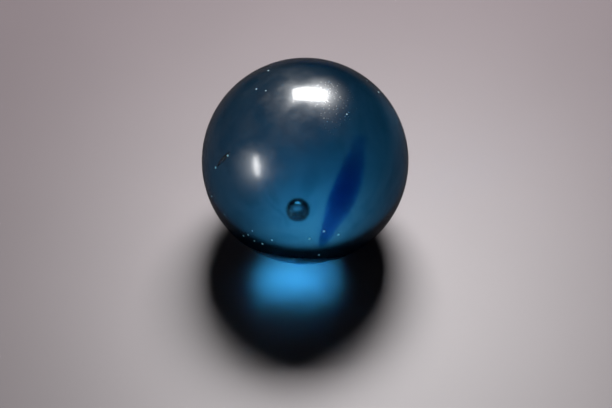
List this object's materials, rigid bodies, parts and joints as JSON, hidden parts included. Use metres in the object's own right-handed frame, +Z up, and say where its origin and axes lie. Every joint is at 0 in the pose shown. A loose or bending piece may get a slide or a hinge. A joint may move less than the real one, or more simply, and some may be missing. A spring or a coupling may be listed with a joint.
{
  "type": "glass marble",
  "caption": "Ball of transparent teal-blue glass with a twisted cobalt glass ribbon and an air bubble sealed inside; a toy or game marble.",
  "frame": {"origin": "centre of the ball, which is the centre of its bounding box", "axes": "+Z up as the marble lies on a level surface, -Y towards the viewer of the picture, +X to the viewer's right; -Z points through the point that it lies on"},
  "size_m": [0.016, 0.016, 0.016],
  "materials": {
    "teal_glass": "clear glass, play-worn",
    "cobalt_glass": "clear glass, deep colour"
  },
  "bodies": {
    "root": {"glass_body": "teal_glass", "cobalt_ribbon": "cobalt_glass"}
  },
  "joints": []
}
